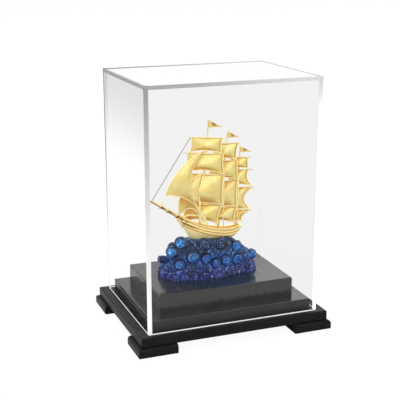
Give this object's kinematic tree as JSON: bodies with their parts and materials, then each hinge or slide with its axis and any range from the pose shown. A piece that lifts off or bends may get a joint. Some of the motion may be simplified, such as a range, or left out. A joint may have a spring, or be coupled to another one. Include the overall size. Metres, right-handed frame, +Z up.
{
  "type": "display case",
  "caption": "Table-top display case: a clear lift-off cover over a black board on feet, with a two-step plinth carrying a gilt sailing ship on a cast blue wave.",
  "frame": {"origin": "on the ground, at the middle of the four feet", "axes": "+Z up, +X along the width to the right seen from the front, +Y towards the back"},
  "size_m": [0.175, 0.135, 0.22],
  "materials": {
    "board_lacquer": "satin black lacquer over fine-grained wood",
    "plinth_lacquer": "satin dark grey lacquer over wood",
    "clear_acrylic": "clear cast acrylic sheet with flame-polished edges",
    "blue_resin": "translucent blue cast resin, glossy",
    "gold_plate": "polished gold plating over brass",
    "brass_pins": "plain brass rod",
    "steel_screws": "zinc-plated countersunk wood screws"
  },
  "bodies": {
    "base": {"base_board": "board_lacquer", "foot_front_left": "board_lacquer", "foot_front_right": "board_lacquer", "foot_rear_left": "board_lacquer", "foot_rear_right": "board_lacquer", "foot_screws": "steel_screws", "lower_tier": "plinth_lacquer", "upper_tier": "plinth_lacquer", "plinth_screws": "steel_screws", "wave": "blue_resin", "keel_pins": "brass_pins", "hull": "gold_plate", "deck": "gold_plate", "rail_cap": "gold_plate", "wales": "gold_plate", "beakhead": "gold_plate", "bowsprit": "gold_plate", "fore_mast": "gold_plate", "main_mast": "gold_plate", "mizzen_mast": "gold_plate", "fore_royal_yard": "gold_plate", "fore_topgallant_yard": "gold_plate", "fore_topsail_yard": "gold_plate", "fore_course_yard": "gold_plate", "main_royal_yard": "gold_plate", "main_topgallant_yard": "gold_plate", "main_topsail_yard": "gold_plate", "main_course_yard": "gold_plate", "mizzen_royal_yard": "gold_plate", "mizzen_topgallant_yard": "gold_plate", "mizzen_topsail_yard": "gold_plate", "mizzen_course_yard": "gold_plate", "fore_royal_sail": "gold_plate", "fore_topgallant_sail": "gold_plate", "fore_topsail_sail": "gold_plate", "fore_course_sail": "gold_plate", "main_royal_sail": "gold_plate", "main_topgallant_sail": "gold_plate", "main_topsail_sail": "gold_plate", "main_course_sail": "gold_plate", "mizzen_royal_sail": "gold_plate", "mizzen_topgallant_sail": "gold_plate", "mizzen_topsail_sail": "gold_plate", "mizzen_course_sail": "gold_plate", "outer_jib": "gold_plate", "middle_jib": "gold_plate", "inner_jib": "gold_plate", "fore_pennant": "gold_plate", "main_pennant": "gold_plate", "mizzen_pennant": "gold_plate", "royal_stay": "gold_plate", "jib_stays": "gold_plate", "yard_braces": "gold_plate"},
    "cover": {"cover_front_panel": "clear_acrylic", "cover_rear_panel": "clear_acrylic", "cover_left_panel": "clear_acrylic", "cover_right_panel": "clear_acrylic", "cover_top_panel": "clear_acrylic"}
  },
  "joints": [
    {"name": "cover_lift", "type": "slide", "parent": "base", "child": "cover", "axis": [0, 0, 1], "range_m": [0, 0.18]}
  ]
}
